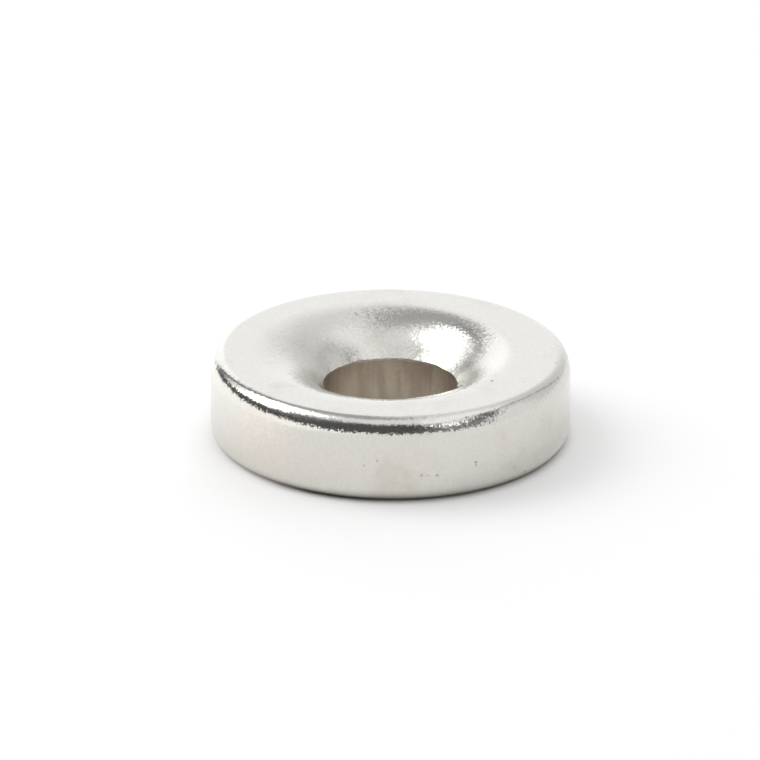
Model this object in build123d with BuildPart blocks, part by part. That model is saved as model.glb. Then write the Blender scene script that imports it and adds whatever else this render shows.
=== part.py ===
from build123d import *
import os
from math import radians, sin, tan

# Countersunk ring magnet: one sintered ring with a screw hole, nickel plated all over.
# The ring lies on its flat back. The origin is the centre of the back face, and +Z runs
# up the screw hole and out of the countersunk face. Sizes are in millimetres and include
# the plating, which is a coating a few hundredths thick and not a piece of its own.

# Ring
outer_diameter = 15.0
thickness = 3.65
edge_radius = 0.6  # tumbled rounding of both outer edges

# Screw hole, a clearance fit on an M5 countersunk screw
bore_diameter = 5.6
back_edge_radius = 0.3  # where the bore leaves the back face

# Countersink
sink_diameter = 8.5  # mouth of the cone, before its lip is rounded
sink_angle = 90.0  # full angle of the cone, as on a metric screw head
lip_radius = 3.4  # broad rounding that leads the cone out into the face
seat_width = 0.4  # least width of cone that stays straight under the screw head

outer_radius = outer_diameter / 2
bore_radius = bore_diameter / 2
sink_radius = sink_diameter / 2

# The lip is tangent to the cone and the face, and each has to be long enough for it.
cone_width = (sink_radius - bore_radius) / sin(radians(sink_angle / 2))
face_width = outer_radius - edge_radius - sink_radius
lip_reach = min(cone_width - seat_width, face_width)
lip_turn = radians(90 - sink_angle / 2)
lip_limit = lip_reach / tan(lip_turn / 2)

with BuildPart() as ring_magnet:
    # Pressed and ground blank
    with BuildSketch():
        Circle(outer_radius)
    extrude(amount=thickness)
    fillet(ring_magnet.edges().filter_by(GeomType.CIRCLE), radius=edge_radius)

    # Screw hole, countersunk from the top face
    with Locations((0, 0, thickness)):
        CounterSinkHole(
            radius=bore_radius,
            counter_sink_radius=sink_radius,
            counter_sink_angle=sink_angle,
        )

    # Lip of the countersink
    top_face = ring_magnet.faces().filter_by(GeomType.PLANE).sort_by(Axis.Z)[-1]
    mouth_rim = top_face.edges().sort_by(SortBy.RADIUS)[0]
    fillet(mouth_rim, radius=min(lip_radius, lip_limit))

    # Edge of the bore on the back face
    back_face = ring_magnet.faces().filter_by(GeomType.PLANE).sort_by(Axis.Z)[0]
    back_rim = back_face.edges().sort_by(SortBy.RADIUS)[0]
    fillet(back_rim, radius=back_edge_radius)

ring_magnet.part.label = "ring_magnet"

os.makedirs("parts", exist_ok=True)
export_step(ring_magnet.part, "parts/ring_magnet.step")
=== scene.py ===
from math import cos, hypot, pi, radians, sin, tan

import bmesh
import bpy
from mathutils import Matrix, Vector, noise


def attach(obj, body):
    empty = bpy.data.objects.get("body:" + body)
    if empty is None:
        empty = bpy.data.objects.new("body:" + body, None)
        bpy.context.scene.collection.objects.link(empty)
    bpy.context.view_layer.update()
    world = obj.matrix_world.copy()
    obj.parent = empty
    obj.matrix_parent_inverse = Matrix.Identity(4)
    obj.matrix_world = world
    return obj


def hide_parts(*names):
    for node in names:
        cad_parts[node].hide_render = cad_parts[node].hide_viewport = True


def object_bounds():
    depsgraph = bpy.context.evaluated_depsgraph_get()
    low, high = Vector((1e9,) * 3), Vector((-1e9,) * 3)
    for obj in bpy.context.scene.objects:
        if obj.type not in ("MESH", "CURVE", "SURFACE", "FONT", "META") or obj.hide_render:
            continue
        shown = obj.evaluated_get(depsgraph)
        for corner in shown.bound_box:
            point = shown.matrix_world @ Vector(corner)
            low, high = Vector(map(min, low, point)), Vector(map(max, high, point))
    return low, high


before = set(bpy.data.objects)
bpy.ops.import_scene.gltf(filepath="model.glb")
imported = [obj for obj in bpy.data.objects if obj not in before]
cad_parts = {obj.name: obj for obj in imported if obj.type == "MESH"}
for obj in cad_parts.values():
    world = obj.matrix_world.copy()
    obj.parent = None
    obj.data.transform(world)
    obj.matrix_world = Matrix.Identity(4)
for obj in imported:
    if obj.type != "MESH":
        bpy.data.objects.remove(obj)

mm = 0.001
mergeGap = 0.0001 * mm

cadLow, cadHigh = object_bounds()
print("frame loaded, box", [round(v / mm, 3) for v in (*cadLow, *cadHigh)])


def heading(azimuth, elevation):
    # azimuth 0 lies behind the ring and 90 to its right
    a, e = radians(azimuth), radians(elevation)
    return Vector((sin(a) * cos(e), cos(a) * cos(e), sin(e)))


# Small helpers for node trees

def addNode(tree, kind, **values):
    node = tree.nodes.new(kind)
    # new nodes fill a grid to the left of the shader, in the order they are made
    column, row = divmod(len(tree.nodes), 10)
    node.location = (200 * column - 3000, -250 * row)
    for name, value in values.items():
        setattr(node, name, value)
    return node


def feed(tree, target, source):
    # target is a socket; source is another socket or a plain value
    if isinstance(source, bpy.types.NodeSocket):
        tree.links.new(source, target)
    else:
        target.default_value = source


def mathNode(tree, operation, *inputs, clamp=False):
    node = addNode(tree, "ShaderNodeMath", operation=operation, use_clamp=clamp)
    for i, value in enumerate(inputs):
        feed(tree, node.inputs[i], value)
    return node.outputs[0]


def vectorNode(tree, operation, *inputs):
    node = addNode(tree, "ShaderNodeVectorMath", operation=operation)
    for i, value in enumerate(inputs):
        feed(tree, node.inputs[i], value)
    return node.outputs["Value" if operation in ("DOT_PRODUCT", "LENGTH", "DISTANCE") else "Vector"]


def scaleVector(tree, vector, factor):
    node = addNode(tree, "ShaderNodeVectorMath", operation="SCALE")
    feed(tree, node.inputs[0], vector)
    feed(tree, node.inputs["Scale"], factor)
    return node.outputs["Vector"]


def takeAxis(tree, vector, axis):
    node = addNode(tree, "ShaderNodeSeparateXYZ")
    feed(tree, node.inputs[0], vector)
    return node.outputs[axis]


def mapRange(tree, value, low, high, toLow=0.0, toHigh=1.0, smooth=True):
    node = addNode(tree, "ShaderNodeMapRange", clamp=True)
    node.interpolation_type = "SMOOTHSTEP" if smooth else "LINEAR"
    for i, v in enumerate((value, low, high, toLow, toHigh)):
        feed(tree, node.inputs[i], v)
    return node.outputs[0]


def mixNode(tree, dataType, socketType, factor, a, b):
    node = addNode(tree, "ShaderNodeMix", data_type=dataType)
    feed(tree, node.inputs["Factor"], factor)
    ends = [s for s in node.inputs if s.name in ("A", "B") and s.type == socketType]
    feed(tree, ends[0], a)
    feed(tree, ends[1], b)
    return [s for s in node.outputs if s.type == socketType][0]


def mixColour(tree, factor, a, b):
    return mixNode(tree, "RGBA", "RGBA", factor, a, b)


def mixValue(tree, factor, a, b):
    return mixNode(tree, "FLOAT", "VALUE", factor, a, b)


def noiseNode(tree, vector, scale, detail, roughness):
    node = addNode(tree, "ShaderNodeTexNoise", noise_dimensions="3D")
    feed(tree, node.inputs["Vector"], vector)
    node.inputs["Scale"].default_value = scale
    node.inputs["Detail"].default_value = detail
    node.inputs["Roughness"].default_value = roughness
    return node.outputs["Fac"]


# The ring

ring = {
    "outerRadius": min(-cadLow.x, -cadLow.y, cadHigh.x, cadHigh.y),
    "thickness": cadHigh.z,
    "edgeRadius": 0.56 * mm,
    "footRadius": 0.6 * mm,  # lower edge of the wall
    "boreRadius": 2.8 * mm,
    "shoulderRadius": 1.2 * mm,  # the wall eases into the upper edge over this
    "shoulderTurn": radians(25),
    "backEdgeRadius": 0.3 * mm,
    "seatEdgeRadius": 0.015 * mm,  # plated edge between the bore and the cone
    "sinkRadius": 4.25 * mm,
    "sinkAngle": radians(90),
    "lipRadius": 3.7 * mm,
    "lipShift": 0.32 * mm,  # how far the rounded lip leans away from the bore's middle
    "lipHeading": -105,
    "waveHeight": 0.006 * mm,
    "waveSize": 1.6 * mm,
    "waveReach": 0.9 * mm,  # how far in from the wall the waves go
    "waveFine": 2.7,  # how much finer the second layer of waves is
    "chipHeight": 0.05 * mm,  # unevenness of the edge between bore and cone
    "chipSize": 0.9 * mm,
    "chipReach": 0.3 * mm,  # the unevenness fades out this far from the edge
    "chipCore": 0.02 * mm,  # and is full this close to it
    "chipFine": 3.1,
    "roundSteps": 16,
    "lipSteps": 24,
    "flatSteps": 8,
    "wallSteps": 10,
    "coneSteps": 6,
    "seatSteps": 4,
    "backSteps": 8,
    "turnSteps": 480,
}


def sinkPlaces(p):
    # height where the cone meets the bore, and radius where the lip runs out into the face
    coneDepth = (p["sinkRadius"] - p["boreRadius"]) / tan(p["sinkAngle"] / 2)
    lipTurn = pi / 2 - p["sinkAngle"] / 2
    lipReach = p["lipRadius"] * tan(lipTurn / 2)
    return p["thickness"] - coneDepth, p["sinkRadius"] + lipReach


def runTo(bm, vert, r, z, steps):
    # straight run of the outline from vert to (r, z)
    start = vert.co.copy()
    for i in range(steps):
        made = bmesh.ops.extrude_vert_indiv(bm, verts=[vert])
        vert = made["verts"][0]
        vert.co = start.lerp(Vector((r, 0, z)), (i + 1) / steps)
    return vert


def turn(bm, vert, r, z, angle, steps):
    # round corner of the outline about the centre (r, z)
    made = bmesh.ops.spin(bm, geom=[vert], cent=(r, 0, z), axis=(0, 1, 0), angle=angle, steps=steps)
    return [g for g in made["geom_last"] if isinstance(g, bmesh.types.BMVert)][0]


def drawOutline(bm, p):
    # once round the ring's section, from the back face out to the wall, over the top and down the bore
    outer, top, bore = p["outerRadius"], p["thickness"], p["boreRadius"]
    foot, edge, back, lip = p["footRadius"], p["edgeRadius"], p["backEdgeRadius"], p["lipRadius"]
    ease, tip = p["shoulderRadius"], p["shoulderTurn"]
    shoulder = top - edge - (ease - edge) * sin(tip)
    seatHeight, faceStart = sinkPlaces(p)
    half = p["sinkAngle"] / 2
    seat = p["seatEdgeRadius"]
    seatReach = seat * tan(half / 2)
    v = bm.verts.new((bore + back, 0, 0))
    v = runTo(bm, v, outer - foot, 0, p["flatSteps"])
    v = turn(bm, v, outer - foot, foot, -pi / 2, p["roundSteps"])
    v = runTo(bm, v, outer, shoulder, p["wallSteps"])
    v = turn(bm, v, outer - ease, shoulder, -tip, p["roundSteps"])
    v = turn(bm, v, outer - ease + (ease - edge) * cos(tip), top - edge, tip - pi / 2, p["roundSteps"])
    v = runTo(bm, v, faceStart, top, p["flatSteps"])
    v = turn(bm, v, faceStart, top - lip, half - pi / 2, p["lipSteps"])
    v = runTo(bm, v, bore + seatReach * sin(half), seatHeight + seatReach * cos(half), p["coneSteps"])
    v = turn(bm, v, bore + seat, seatHeight - seatReach, -half, p["seatSteps"])
    v = runTo(bm, v, bore, back, p["flatSteps"])
    turn(bm, v, bore + back, back, -pi / 2, p["backSteps"])


def smoothStep(value, low, high):
    t = min(max((value - low) / (high - low), 0.0), 1.0)
    return t * t * (3 - 2 * t)


def layeredNoise(place, size, fine):
    # coarse noise with a finer layer of half its strength
    return noise.noise(place / size) + 0.5 * noise.noise(place / size * fine)


def wear(bm, p):
    # pressed and tumbled unevenness: a lip that leans, a wavy wall and a chipped seat edge
    seatHeight, faceStart = sinkPlaces(p)
    lean = heading(p["lipHeading"], 0) * p["lipShift"]
    for v in bm.verts:
        place = v.co.copy()
        r = hypot(place.x, place.y)
        outward = Vector((place.x, place.y, 0)) / r
        if place.z > seatHeight + p["seatEdgeRadius"]:
            share = smoothStep(r, p["boreRadius"], faceStart)
            share *= smoothStep(r, p["outerRadius"] - p["edgeRadius"], faceStart)
            v.co += lean * share
        if r > p["outerRadius"] - p["waveReach"]:
            wave = layeredNoise(place, p["waveSize"], p["waveFine"])
            v.co -= outward * p["waveHeight"] * (1 + wave) / 2
        fromSeat = hypot(r - p["boreRadius"], place.z - seatHeight)
        near = smoothStep(fromSeat, p["chipReach"], p["chipCore"])
        if near > 0:
            chip = layeredNoise(outward * p["boreRadius"], p["chipSize"], p["chipFine"])
            v.co.z += p["chipHeight"] * chip * near


def makeRing(p):
    bm = bmesh.new()
    drawOutline(bm, p)
    bmesh.ops.remove_doubles(bm, verts=bm.verts, dist=mergeGap)
    bmesh.ops.spin(bm, geom=bm.verts[:] + bm.edges[:], cent=(0, 0, 0), axis=(0, 0, 1),
                   angle=2 * pi, steps=p["turnSteps"], use_merge=True)
    bmesh.ops.remove_doubles(bm, verts=bm.verts, dist=mergeGap)
    wear(bm, p)
    bmesh.ops.recalc_face_normals(bm, faces=bm.faces)
    for face in bm.faces:
        face.smooth = True
    mesh = bpy.data.meshes.new("ringMagnet")
    bm.to_mesh(mesh)
    bm.free()
    piece = bpy.data.objects.new("ringMagnet", mesh)
    bpy.context.scene.collection.objects.link(piece)
    return piece


ringPiece = makeRing(ring)
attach(ringPiece, "root")
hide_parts("ring_magnet")
print("ring made,", len(ringPiece.data.polygons), "faces")


# Nickel plate. Each pair gives where a mask starts and where it is full.

nickel = {
    "colour": (0.675, 0.66, 0.615, 1),
    "roughness": 0.13,
    "tarnish": (0.6, 0.575, 0.52, 1),  # faint clouds all over
    "cloudScale": 0.45,  # clouds per millimetre
    "cloudRange": (0.5, 0.8),
    "paintedWarmSheen": (0.7, 0.658, 0.605, 1),  # painted warm reflection on the lit left of the wall
    "paintedWarmSheenPlace": (-5.2, -5.4, 1.7),  # in millimetres, as are the reaches and depths below
    "paintedWarmSheenReach": (2.6, 0.4),
    "paintedContactShade": (0.36, 0.3, 0.25, 1),  # painted contact shade, darker towards where the wall meets the table
    "paintedContactShadeHeight": (0.22, 0.02),
    "speckColour": (0.1, 0.09, 0.08, 1),
    "speckCore": 0.4,  # share of a speck's size that is fully dark
    "coneRoughness": 0.27,
    "coneReach": (4.7, 3.6),
    "boreColour": (0.53, 0.465, 0.375, 1),
    "boreShade": (0.43, 0.365, 0.295, 1),  # thin plating along the bore
    "boreRoughness": 0.45,
    "boreDepth": (0.02, 0.14),  # below the seat
    "boreMargin": (0.12, 0.04),  # out from the bore's wall
    "streakScale": 1.3,
    "streakSquash": (1, 1, 0.15),  # draws the streaks out along the bore
    "streakRange": (0.42, 0.62),
    "crystalSize": 0.075 * mm,
    "crystalShade": 0.03,
    "crystalTilt": 0.08,
    "edgeCrystalTilt": 0.1,
    "edgeCrystalShare": 0.3,  # share of crystalTilt that stays on the level part of the edge
    "edgeReach": (6.7, 6.9),
    "edgeSlope": (0.9, 0.55),  # how upright the normal is, where the edge's crystals come in
    "grainSize": 0.22 * mm,
    "grainHeight": 0.012 * mm,
    "flatShare": 0.15,  # share of grain and tilt on the flat faces
    "flatSlope": (0.999, 0.97),
}

# Pin holes and specks on the plate. Angle is in degrees to the right of the front, the rest in millimetres.
specks = [
    dict(angle=54, radius=5.18, height=3.62, size=0.09, strength=1.0),
    dict(angle=60, radius=6.37, height=3.65, size=0.07, strength=0.3),
    dict(angle=81, radius=6.95, height=3.65, size=0.1, strength=0.3),
    dict(angle=-8, radius=7.5, height=1.65, size=0.07, strength=0.25),
    dict(angle=-4, radius=7.5, height=1.9, size=0.08, strength=0.3),
    dict(angle=10, radius=7.5, height=1.22, size=0.09, strength=0.35),
    dict(angle=12, radius=7.5, height=1.2, size=0.06, strength=0.25),
    dict(angle=15, radius=7.5, height=1.17, size=0.09, strength=0.4),
    dict(angle=28, radius=7.5, height=1.5, size=0.08, strength=0.6),
    dict(angle=28, radius=7.5, height=1.38, size=0.07, strength=0.4),
    dict(angle=48, radius=7.45, height=0.42, size=0.08, strength=0.5),
    dict(angle=43, radius=7.5, height=0.8, size=0.06, strength=0.3),
    dict(angle=56, radius=7.5, height=2.33, size=0.06, strength=0.3),
]


def speckMask(tree, inMm, core):
    mask = 0.0
    for speck in specks:
        a, r, size = radians(speck["angle"]), speck["radius"], speck["size"]
        away = vectorNode(tree, "DISTANCE", inMm, (r * sin(a), -r * cos(a), speck["height"]))
        mark = mapRange(tree, away, size, size * core, 0.0, speck["strength"])
        mask = mathNode(tree, "MAXIMUM", mask, mark)
    return mask


def makeNickel(p, size):
    material = bpy.data.materials.new("nickelPlate")
    material.use_nodes = True
    tree = material.node_tree
    shader = tree.nodes["Principled BSDF"]
    shader.inputs["Metallic"].default_value = 1.0
    place = addNode(tree, "ShaderNodeTexCoord")
    inMm = scaleVector(tree, place.outputs["Object"], 1 / mm)
    height = takeAxis(tree, inMm, "Z")
    reach = vectorNode(tree, "LENGTH", vectorNode(tree, "MULTIPLY", inMm, (1, 1, 0)))
    upright = mathNode(tree, "ABSOLUTE", takeAxis(tree, place.outputs["Normal"], "Z"))

    # where the bore and the cone are
    seat = sinkPlaces(size)[0] / mm
    bore = size["boreRadius"] / mm
    below = mapRange(tree, height, *[seat - d for d in p["boreDepth"]])
    inBore = mathNode(tree, "MULTIPLY", below, mapRange(tree, reach, *[bore + d for d in p["boreMargin"]]))
    inCone = mapRange(tree, reach, *p["coneReach"])

    # colour
    cloud = noiseNode(tree, inMm, p["cloudScale"], 3.0, 0.6)
    plate = mixColour(tree, mapRange(tree, cloud, *p["cloudRange"]), p["colour"], p["tarnish"])
    # painted warm reflection on the left of the wall, the side facing the softbox
    fromPaintedWarmSheen = vectorNode(tree, "DISTANCE", inMm, p["paintedWarmSheenPlace"])
    plate = mixColour(tree, mapRange(tree, fromPaintedWarmSheen, *p["paintedWarmSheenReach"]), plate, p["paintedWarmSheen"])
    along = vectorNode(tree, "MULTIPLY", inMm, p["streakSquash"])
    streak = noiseNode(tree, along, p["streakScale"], 2.0, 0.6)
    inside = mixColour(tree, mapRange(tree, streak, *p["streakRange"]), p["boreColour"], p["boreShade"])
    colour = mixColour(tree, inBore, plate, inside)
    # painted contact shade along the foot of the wall
    colour = mixColour(tree, mapRange(tree, height, *p["paintedContactShadeHeight"]), colour, p["paintedContactShade"])
    colour = mixColour(tree, speckMask(tree, inMm, p["speckCore"]), colour, p["speckColour"])
    crystals = addNode(tree, "ShaderNodeTexVoronoi")
    feed(tree, crystals.inputs["Vector"], inMm)
    crystals.inputs["Scale"].default_value = mm / p["crystalSize"]
    low, high = 1 - p["crystalShade"], 1 + p["crystalShade"]
    shade = mapRange(tree, takeAxis(tree, crystals.outputs["Color"], "X"), 0.0, 1.0, low, high, smooth=False)
    feed(tree, shader.inputs["Base Color"], scaleVector(tree, colour, shade))
    roughness = mixValue(tree, inCone, p["roughness"], p["coneRoughness"])
    feed(tree, shader.inputs["Roughness"], mixValue(tree, inBore, roughness, p["boreRoughness"]))

    # grain, and crystals that each tip the plate a little their own way
    curved = mapRange(tree, upright, *p["flatSlope"], p["flatShare"], 1.0)
    bump = addNode(tree, "ShaderNodeBump")
    feed(tree, bump.inputs["Strength"], curved)
    bump.inputs["Distance"].default_value = p["grainHeight"]
    feed(tree, bump.inputs["Height"], noiseNode(tree, inMm, mm / p["grainSize"], 2.0, 0.6))
    plain = mathNode(tree, "MULTIPLY", curved, p["crystalTilt"])
    level = p["crystalTilt"] * p["edgeCrystalShare"]
    onEdge = mapRange(tree, upright, *p["edgeSlope"], level, p["edgeCrystalTilt"])
    tilt = mixValue(tree, mapRange(tree, reach, *p["edgeReach"]), plain, onEdge)
    tip = vectorNode(tree, "SUBTRACT", crystals.outputs["Color"], (0.5, 0.5, 0.5))
    tipped = vectorNode(tree, "ADD", bump.outputs["Normal"], scaleVector(tree, tip, tilt))
    feed(tree, shader.inputs["Normal"], vectorNode(tree, "NORMALIZE", tipped))
    return material


ringPiece.data.materials.append(makeNickel(nickel, ring))
print("nickel plate made")


# Studio: floor, room and softbox

studio = {
    "floorRadius": 1.5,
    "floorSides": 96,
    "floorColour": (0.87, 0.862, 0.85, 1),
    "floorRoughness": 0.9,
    "floorLift": 0.18,  # what the camera and the metal see on top of the lit floor
    "glowHeading": -80,
    "glowLift": 0.3,  # painted pool of softbox light: more of it where the softbox leans over the floor
    "glowReach": (6 * mm, 15 * mm),
    "paintedShadowReach": (7.1 * mm, 7.9 * mm),  # painted contact shadow: the lift fades out under the ring
    "holeReach": (2.8 * mm, 2.2 * mm),  # comes back inside the bore
    "clearReach": (1.5 * mm, 5.5 * mm),  # and on the softbox's side, up to clearShare
    "clearShare": 0.9,
    "roomColour": (0.99, 1.0, 1.02, 1),
    "roomLevel": 0.97,
    "horizon": (2.5, 0.5),  # degrees over which the room gives way to white
}


# What stands round the ring, each laid over the ones before it, in degrees as seen from the ring.
# Azimuth and elevation give a board's middle, lean turns it clockwise and blur softens its edges.
boards = {
    # white sweep that carries on up behind the ring, brightest to the left of its middle
    "sweep": dict(azimuth=-5, elevation=20, lean=-30, width=30, height=80, blur=20, level=1.2),
    "sweepLeft": dict(azimuth=-20, elevation=10, lean=0, width=25, height=60, blur=5, level=1.4),
    # right wall of the room, with a post and a rail on it
    "rightWall": dict(azimuth=50, elevation=25, lean=0, width=50, height=50, blur=20, level=0.8),
    "post": dict(azimuth=50, elevation=30, lean=15, width=5, height=35, blur=5, level=0.4),
    "rail": dict(azimuth=80, elevation=50, lean=90, width=5, height=35, blur=5, level=0.4),
    # ceiling: a grey beam from the back wall to overhead, white panels to the right of it
    "beam": dict(azimuth=-15, elevation=60, lean=0, width=20, height=50, blur=10, level=0.5),
    "panels": dict(azimuth=110, elevation=65, lean=20, width=60, height=20, blur=15, level=1.2),
    # unlit half of the room, in front of the ring
    "darkRoom": dict(azimuth=-165, elevation=5, lean=-15, width=155, height=85, blur=20, level=0.25),
    "darkest": dict(azimuth=-165, elevation=15, lean=20, width=80, height=55, blur=25, level=0.1),
    "frontLamp": dict(azimuth=140, elevation=25, lean=10, width=15, height=15, blur=10, level=1.8),
    # dark cloth on the right and the gaps round the softbox
    "rightCloth": dict(azimuth=110, elevation=35, lean=-30, width=15, height=40, blur=10, level=0.15),
    "underSoftbox": dict(azimuth=-80, elevation=10, lean=0, width=90, height=20, blur=10, level=0.1),
    "besideSoftbox": dict(azimuth=-35, elevation=25, lean=10, width=10, height=50, blur=5, level=0.2),
    "spill": dict(azimuth=-115, elevation=55, lean=0, width=15, height=20, blur=10, level=0.9),
}


def makeBoardGroup():
    # mask of a board seen from the ring, measured about the board's own middle
    group = bpy.data.node_groups.new("board", "ShaderNodeTree")
    face = group.interface
    for name in ("Direction", "Forward", "Right", "Up"):
        face.new_socket(name, in_out="INPUT", socket_type="NodeSocketVector")
    for name in ("Width", "Height", "Blur"):
        face.new_socket(name, in_out="INPUT", socket_type="NodeSocketFloat")
    face.new_socket("Mask", in_out="OUTPUT", socket_type="NodeSocketFloat")
    given = addNode(group, "NodeGroupInput").outputs
    ahead, aside, above = [vectorNode(group, "DOT_PRODUCT", given["Direction"], given[axis])
                           for axis in ("Forward", "Right", "Up")]
    across = mathNode(group, "ARCTAN2", aside, ahead)
    along = mathNode(group, "ARCSINE", above)
    mask = 1.0
    for angle, extent in ((across, given["Width"]), (along, given["Height"])):
        halfway = mathNode(group, "MULTIPLY", extent, 0.5)
        past = mathNode(group, "SUBTRACT", mathNode(group, "ABSOLUTE", angle), halfway)
        past = mathNode(group, "DIVIDE", past, given["Blur"])
        mask = mathNode(group, "MULTIPLY", mask, mapRange(group, past, 0.5, -0.5))
    feed(group, addNode(group, "NodeGroupOutput").inputs["Mask"], mask)
    return group


def makeRoom(p, boards):
    world = bpy.data.worlds.new("room")
    bpy.context.scene.world = world
    world.use_nodes = True
    tree = world.node_tree
    background = tree.nodes["Background"]
    direction = addNode(tree, "ShaderNodeTexCoord").outputs["Generated"]
    group = makeBoardGroup()
    level = p["roomLevel"]
    for name, board in boards.items():
        forward = heading(board["azimuth"], board["elevation"])
        leant = Matrix.Rotation(radians(board["lean"]), 3, forward)
        right = leant @ heading(board["azimuth"] + 90, 0)
        node = addNode(tree, "ShaderNodeGroup", node_tree=group, label=name)
        feed(tree, node.inputs["Direction"], direction)
        for socket, vector in (("Forward", forward), ("Right", right), ("Up", right.cross(forward))):
            node.inputs[socket].default_value = vector
        for socket in ("Width", "Height", "Blur"):
            node.inputs[socket].default_value = radians(board[socket.lower()])
        level = mixValue(tree, node.outputs["Mask"], level, board["level"])
    horizon = mapRange(tree, takeAxis(tree, direction, "Z"), *[sin(radians(h)) for h in p["horizon"]])
    feed(tree, background.inputs["Strength"], mixValue(tree, horizon, level, 1.0))
    background.inputs["Color"].default_value = p["roomColour"]


softbox = {
    "azimuth": -75,
    "elevation": 45,
    "lean": radians(20),
    "distance": 0.5,
    "size": (0.35, 0.4),
    "level": 2.3,  # brightness of its face, where 1 is white
}


def makeLamp(name, p):
    lamp = bpy.data.lights.new(name, "AREA")
    lamp.shape = "RECTANGLE"
    lamp.size, lamp.size_y = p["size"]
    lamp.energy = p["level"] * pi * lamp.size * lamp.size_y
    lampPiece = bpy.data.objects.new(name, lamp)
    bpy.context.scene.collection.objects.link(lampPiece)
    towards = heading(p["azimuth"], p["elevation"])
    lampPiece.location = towards * p["distance"]
    lampPiece.rotation_mode = "QUATERNION"
    lean = Matrix.Rotation(p["lean"], 3, "Z").to_quaternion()
    lampPiece.rotation_quaternion = towards.to_track_quat("Z", "Y") @ lean


def makePaleFloor(p):
    material = bpy.data.materials.new("paleFloor")
    material.use_nodes = True
    tree = material.node_tree
    shader = tree.nodes["Principled BSDF"]
    shader.inputs["Base Color"].default_value = p["floorColour"]
    shader.inputs["Roughness"].default_value = p["floorRoughness"]
    shader.inputs["Specular IOR Level"].default_value = 0.0
    rays = addNode(tree, "ShaderNodeLightPath")
    seen = mathNode(tree, "ADD", rays.outputs["Is Camera Ray"], rays.outputs["Is Glossy Ray"])
    seen = mathNode(tree, "ADD", seen, rays.outputs["Is Transmission Ray"], clamp=True)
    place = addNode(tree, "ShaderNodeTexCoord").outputs["Object"]
    # painted pool of light on the floor towards the softbox
    leftward = vectorNode(tree, "DOT_PRODUCT", place, heading(p["glowHeading"], 0))
    brightest = p["floorLift"] + p["glowLift"]
    glow = mapRange(tree, leftward, *p["glowReach"], p["floorLift"], brightest)
    # painted contact shadow round the ring, open again inside the bore and on the softbox's side
    away = vectorNode(tree, "LENGTH", place)
    unshadowed = mapRange(tree, away, *p["paintedShadowReach"])
    unshadowed = mathNode(tree, "MAXIMUM", unshadowed, mapRange(tree, away, *p["holeReach"]))
    unshadowed = mathNode(tree, "MAXIMUM", unshadowed, mapRange(tree, leftward, *p["clearReach"], 0.0, p["clearShare"]))
    # floor lift carrying the painted pool of light and the painted contact shadow
    lift = mathNode(tree, "MULTIPLY", seen, mathNode(tree, "MULTIPLY", glow, unshadowed))
    shader.inputs["Emission Color"].default_value = (1, 1, 1, 1)
    feed(tree, shader.inputs["Emission Strength"], lift)
    return material


def makeFloor(p):
    bm = bmesh.new()
    bmesh.ops.create_circle(bm, cap_ends=True, segments=p["floorSides"], radius=p["floorRadius"])
    mesh = bpy.data.meshes.new("floor")
    bm.to_mesh(mesh)
    bm.free()
    floor = bpy.data.objects.new("floor", mesh)
    bpy.context.scene.collection.objects.link(floor)
    mesh.materials.append(makePaleFloor(p))


makeFloor(studio)
makeRoom(studio, boards)
makeLamp("softbox", softbox)
print("studio made")


# Camera

view = {
    "distance": 300 * mm,
    "elevation": radians(22.9),
    "roll": radians(0.4),
    "pictureSide": 760,  # in pixels, as are the next two
    "focalLength": 7180,
    "centrePixel": (390.4, 432.3),  # where the middle of the back face falls
    "sensorWidth": 36,
    "clip": (0.01, 10),
}


def makeCamera(p):
    data = bpy.data.cameras.new("camera")
    data.sensor_width = p["sensorWidth"]
    data.lens = data.sensor_width * p["focalLength"] / p["pictureSide"]
    data.clip_start, data.clip_end = p["clip"]
    camera = bpy.data.objects.new("camera", data)
    bpy.context.scene.collection.objects.link(camera)
    bpy.context.scene.camera = camera
    back = Vector((0, -cos(p["elevation"]), sin(p["elevation"])))
    level = back.to_track_quat("Z", "Y")
    right, up = level @ Vector((1, 0, 0)), level @ Vector((0, 1, 0))
    x, y = p["centrePixel"]
    middle = p["pictureSide"] / 2
    perPixel = p["distance"] / p["focalLength"]
    aim = right * (middle - x) * perPixel + up * (y - middle) * perPixel
    camera.location = back * p["distance"]
    towards = (camera.location - aim).normalized()
    roll = Matrix.Rotation(p["roll"], 3, "Z").to_quaternion()
    camera.rotation_mode = "QUATERNION"
    camera.rotation_quaternion = towards.to_track_quat("Z", "Y") @ roll


makeCamera(view)
bpy.context.scene.view_settings.view_transform = "Standard"
print("camera made")
